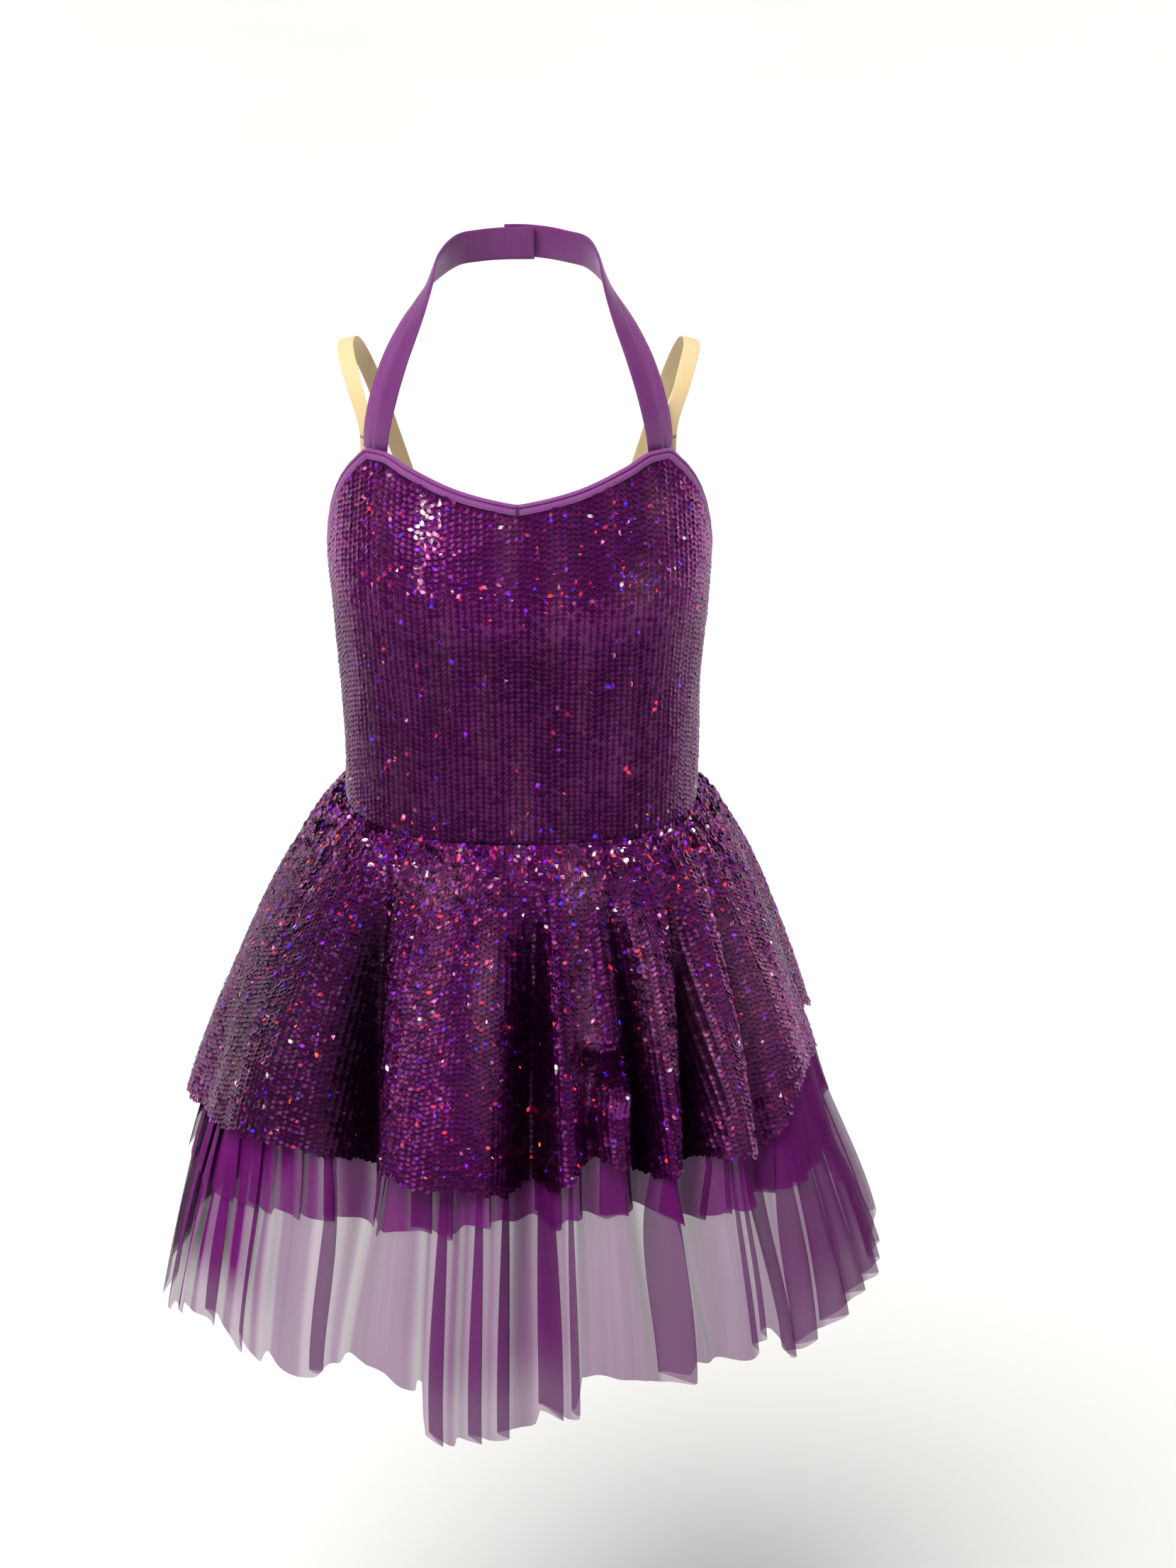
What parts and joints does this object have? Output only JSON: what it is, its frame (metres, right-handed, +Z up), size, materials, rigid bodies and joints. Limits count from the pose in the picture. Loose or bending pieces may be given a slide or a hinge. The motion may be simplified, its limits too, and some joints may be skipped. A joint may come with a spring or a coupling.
{
  "type": "halter-neck sequinned leotard dress",
  "caption": "Child's halter-neck leotard with a sequinned bodice, a gathered sequinned skirt over two tulle layers, a brief beneath and skin-coloured shoulder straps.",
  "frame": {"origin": "middle of the wearer's waist, level with the waist seam", "axes": "+Z up the wearer's body, -Y out of the front, +X to the wearer's left"},
  "size_m": [0.4644, 0.4026, 0.6951],
  "materials": {
    "sequins": "overlapping cupped metallic sequins with a holographic glint, on stretch mesh",
    "satin": "satin spandex",
    "tulle": "soft net",
    "lining": "matte stretch mesh",
    "brief_cloth": "matte spandex",
    "nude_elastic": "ribbed elastic",
    "elastic": "woven elastic",
    "thread": "twisted thread",
    "snap": "plated metal",
    "label": "blank woven tape"
  },
  "bodies": {
    "leotard": {"bodice_front": "sequins", "bodice_back": "sequins", "bodice_lining_front": "lining", "bodice_lining_back": "lining", "neckline_binding_left": "satin", "neckline_binding_right": "satin", "neckline_tack": "thread", "armhole_binding_left": "satin", "armhole_binding_right": "satin", "back_binding": "satin", "halter_strap_left": "satin", "halter_strap_right": "satin", "nude_strap_left": "nude_elastic", "nude_strap_right": "nude_elastic", "snap_socket": "snap", "waist_elastic": "elastic", "sequin_skirt": "sequins", "tulle_layer_short": "tulle", "tulle_layer_long": "tulle", "brief_front": "brief_cloth", "brief_back": "brief_cloth", "gusset_lining": "lining", "leg_elastic_left": "satin", "leg_elastic_right": "satin", "care_label": "label"},
    "halter_end": {"halter_strap_left_end": "satin", "snap_stud": "snap"}
  },
  "joints": [
    {"name": "halter_closure", "type": "hinge", "parent": "leotard", "child": "halter_end", "pos_m": [0.04, 0.0335, 0.336], "axis": [0, 0, -1], "range_deg": [0, 80]}
  ]
}
